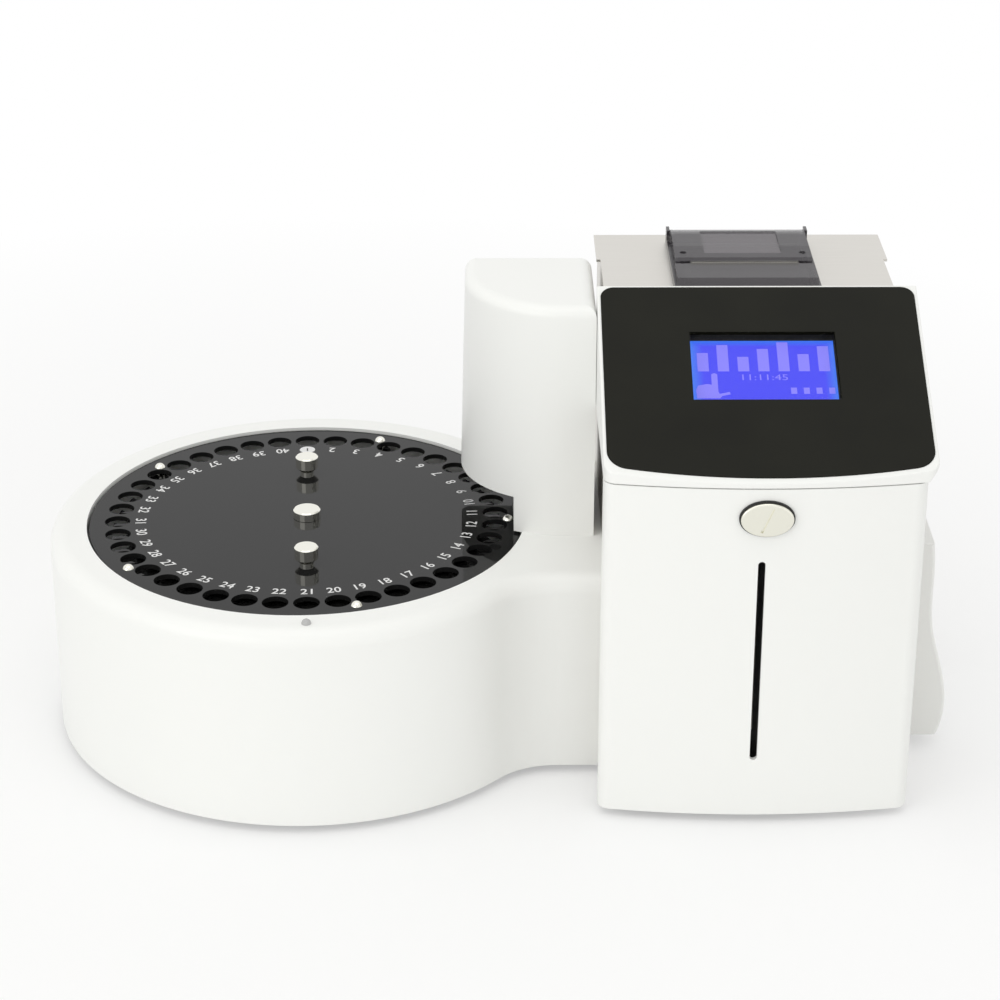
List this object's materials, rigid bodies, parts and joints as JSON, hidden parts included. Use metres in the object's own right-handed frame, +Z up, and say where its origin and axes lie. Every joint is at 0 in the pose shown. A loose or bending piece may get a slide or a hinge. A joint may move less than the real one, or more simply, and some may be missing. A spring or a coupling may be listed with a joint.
{
  "type": "electrolyte_analyzer",
  "caption": "Desktop electrolyte analyzer: touch-screen main unit with slotted front door and top ticket printer, beside a round sample carousel with a sampling tower.",
  "frame": {"origin": "on the table top, on the axis of the sample carousel, at the underside of the middle foot", "axes": "+Z up, +X to the right of someone facing the screen (along the longest extent), +Y to the back"},
  "size_m": [0.5394, 0.309, 0.2862],
  "materials": {
    "white_shell": "satin",
    "black_acrylic": "gloss",
    "bright_steel": "polished",
    "grey_sheet": "matte",
    "warm_sheet": "satin",
    "dark_steel": "matte",
    "dark_plastic": "matte",
    "smoke_plastic": "gloss",
    "roller_plastic": "matte",
    "clear_cell": "gloss",
    "clear_lamp": "gloss",
    "panel_glass": "gloss",
    "lit_screen": "lit",
    "black_rubber": "matte",
    "paper": "matte"
  },
  "bodies": {
    "analyzer": {"drum_housing": "white_shell", "drum_base_plate": "grey_sheet", "sampler_feet": "black_rubber", "carousel_motor": "dark_steel", "status_lamp": "clear_lamp", "tower_housing": "white_shell", "needle_guide": "dark_plastic", "lift_frame": "grey_sheet", "guide_rods": "bright_steel", "lift_motor": "dark_steel", "base_pan": "grey_sheet", "main_feet": "black_rubber", "metal_cover": "warm_sheet", "rear_panel": "warm_sheet", "power_inlet": "dark_plastic", "head_housing": "white_shell", "glass_panel": "panel_glass", "lcd_frame": "dark_plastic", "lcd_screen": "lit_screen", "front_plate": "grey_sheet", "electrode_rail": "dark_plastic", "electrode_1": "clear_cell", "electrode_2": "clear_cell", "electrode_3": "clear_cell", "electrode_4": "clear_cell", "pump_housing": "dark_plastic", "pump_motor": "dark_steel", "probe_bracket": "dark_plastic", "reagent_bay": "dark_plastic", "printer_frame": "smoke_plastic", "paper_roll": "paper", "print_mechanism": "dark_plastic", "tear_bar": "bright_steel"},
    "carousel": {"motor_shaft": "bright_steel", "drive_hub": "bright_steel", "tray_bottom_plate": "black_acrylic", "tray_guide_plate": "black_acrylic", "tray_top_plate": "black_acrylic", "tray_hub": "black_acrylic", "tray_posts": "bright_steel", "tray_dome_nuts": "bright_steel", "centre_knob": "bright_steel", "lifting_knobs": "bright_steel"},
    "needle_lift": {"lift_carriage": "dark_plastic", "probe_arm": "grey_sheet", "sampler_needle": "bright_steel"},
    "lift_screw": {"lead_screw": "bright_steel"},
    "door": {"front_door": "white_shell", "door_hinge_pins": "bright_steel"},
    "latch": {"latch_knob": "bright_steel", "latch_cam": "grey_sheet"},
    "manual_probe": {"sample_probe": "bright_steel"},
    "pump_wheel": {"pump_rotor": "bright_steel"},
    "roller_a": {"pump_roller_1": "roller_plastic"},
    "roller_b": {"pump_roller_2": "roller_plastic"},
    "roller_c": {"pump_roller_3": "roller_plastic"},
    "printer_flap": {"printer_lid": "smoke_plastic"},
    "platen": {"platen_roller": "black_rubber"},
    "reagents": {"reagent_pack": "white_shell"},
    "rocker": {"power_rocker": "dark_plastic"}
  },
  "joints": [
    {"name": "carousel_spin", "type": "hinge", "parent": "analyzer", "child": "carousel", "pos_m": [0, 0, 0.127], "axis": [0, 0, 1], "continuous": true},
    {"name": "probe_lift", "type": "slide", "parent": "analyzer", "child": "needle_lift", "axis": [0, 0, -1], "range_m": [0, 0.065]},
    {"name": "lift_screw_spin", "type": "hinge", "parent": "analyzer", "child": "lift_screw", "pos_m": [0.1492, 0.0225, 0.2], "axis": [0, 0, 1], "range_deg": [0, 1560]},
    {"name": "door_open", "type": "hinge", "parent": "analyzer", "child": "door", "pos_m": [0.263, -0.134, 0.013], "axis": [1, 0, 0], "range_deg": [0, 80]},
    {"name": "latch_turn", "type": "hinge", "parent": "door", "child": "latch", "pos_m": [0.263, -0.14, 0.195], "axis": [0, 1, 0], "range_deg": [0, 90]},
    {"name": "probe_swing", "type": "hinge", "parent": "analyzer", "child": "manual_probe", "pos_m": [0.2613, -0.122, 0.172], "axis": [-1, 0, 0], "range_deg": [0, 50]},
    {"name": "pump_spin", "type": "hinge", "parent": "analyzer", "child": "pump_wheel", "pos_m": [0.308, -0.1, 0.078], "axis": [0, -1, 0], "continuous": true},
    {"name": "roller_a_spin", "type": "hinge", "parent": "pump_wheel", "child": "roller_a", "pos_m": [0.308, -0.1, 0.0905], "axis": [0, -1, 0], "continuous": true},
    {"name": "roller_b_spin", "type": "hinge", "parent": "pump_wheel", "child": "roller_b", "pos_m": [0.29718, -0.1, 0.07175], "axis": [0, -1, 0], "continuous": true},
    {"name": "roller_c_spin", "type": "hinge", "parent": "pump_wheel", "child": "roller_c", "pos_m": [0.31883, -0.1, 0.07175], "axis": [0, -1, 0], "continuous": true},
    {"name": "printer_lid_open", "type": "hinge", "parent": "analyzer", "child": "printer_flap", "pos_m": [0.2615, 0.078, 0.2826], "axis": [-1, 0, 0], "range_deg": [0, 95]},
    {"name": "platen_spin", "type": "hinge", "parent": "printer_flap", "child": "platen", "pos_m": [0.2615, 0.028, 0.2761], "axis": [1, 0, 0], "continuous": true},
    {"name": "reagent_pack_slide", "type": "slide", "parent": "analyzer", "child": "reagents", "axis": [1, 0, 0], "range_m": [0, 0.045]},
    {"name": "power_rocker_tilt", "type": "hinge", "parent": "analyzer", "child": "rocker", "pos_m": [0.2498, 0.088, 0.044], "axis": [-1, 0, 0], "range_deg": [0, 16]}
  ],
  "couplings": [
    {"joint": "lift_screw_spin", "follows": "probe_lift", "rad_per_m": 418.88},
    {"joint": "roller_a_spin", "follows": "pump_spin", "ratio": -3.778},
    {"joint": "roller_b_spin", "follows": "pump_spin", "ratio": -3.778},
    {"joint": "roller_c_spin", "follows": "pump_spin", "ratio": -3.778}
  ]
}
